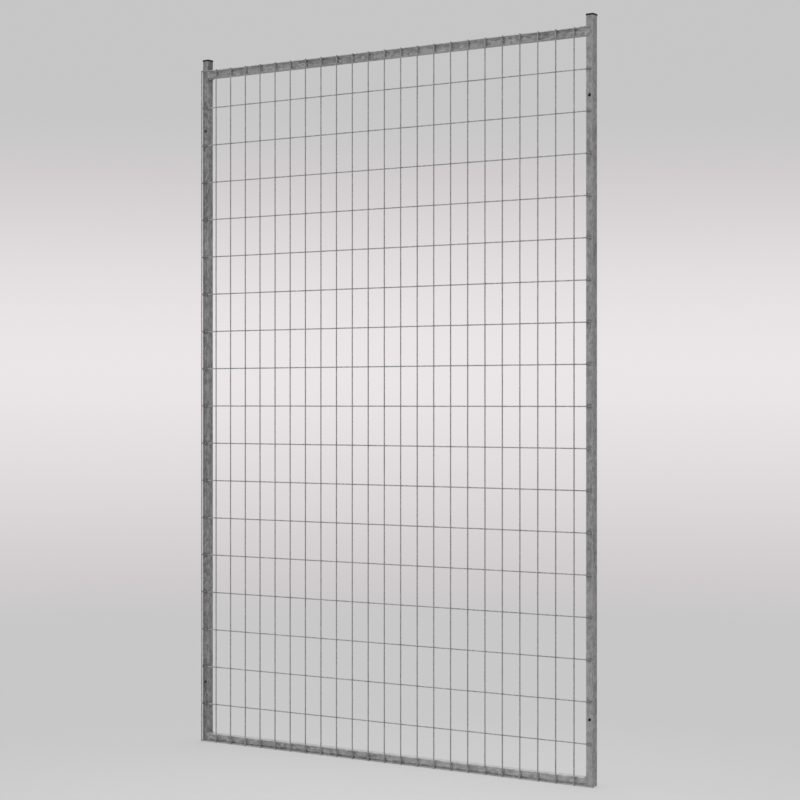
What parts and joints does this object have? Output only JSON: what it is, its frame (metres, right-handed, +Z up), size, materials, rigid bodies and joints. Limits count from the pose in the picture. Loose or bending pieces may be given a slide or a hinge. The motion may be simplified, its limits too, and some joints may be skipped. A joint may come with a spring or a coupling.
{
  "type": "machine guard fence panel",
  "caption": "Tall galvanised guard panel: square-tube frame with capped uprights, drilled for bolts, and welded wire mesh across its front.",
  "frame": {"origin": "back face of the left post, on its centreline, at its foot", "axes": "+X along the panel from the left post to the right, +Y out of the back face, away from the mesh, +Z up"},
  "size_m": [1.2042, 0.0265, 1.8341],
  "materials": {
    "frame_zinc": "hot-dip galvanised, mottled matt zinc",
    "mesh_zinc": "galvanised wire, matt zinc",
    "cap_plastic": "moulded black polyethylene"
  },
  "bodies": {
    "root": {"left_post": "frame_zinc", "right_post": "frame_zinc", "top_rail": "frame_zinc", "bottom_rail": "frame_zinc", "corner_welds": "frame_zinc", "left_cap": "cap_plastic", "right_cap": "cap_plastic", "mesh_lower": "mesh_zinc", "mesh_middle": "mesh_zinc", "mesh_upper": "mesh_zinc"}
  },
  "joints": []
}
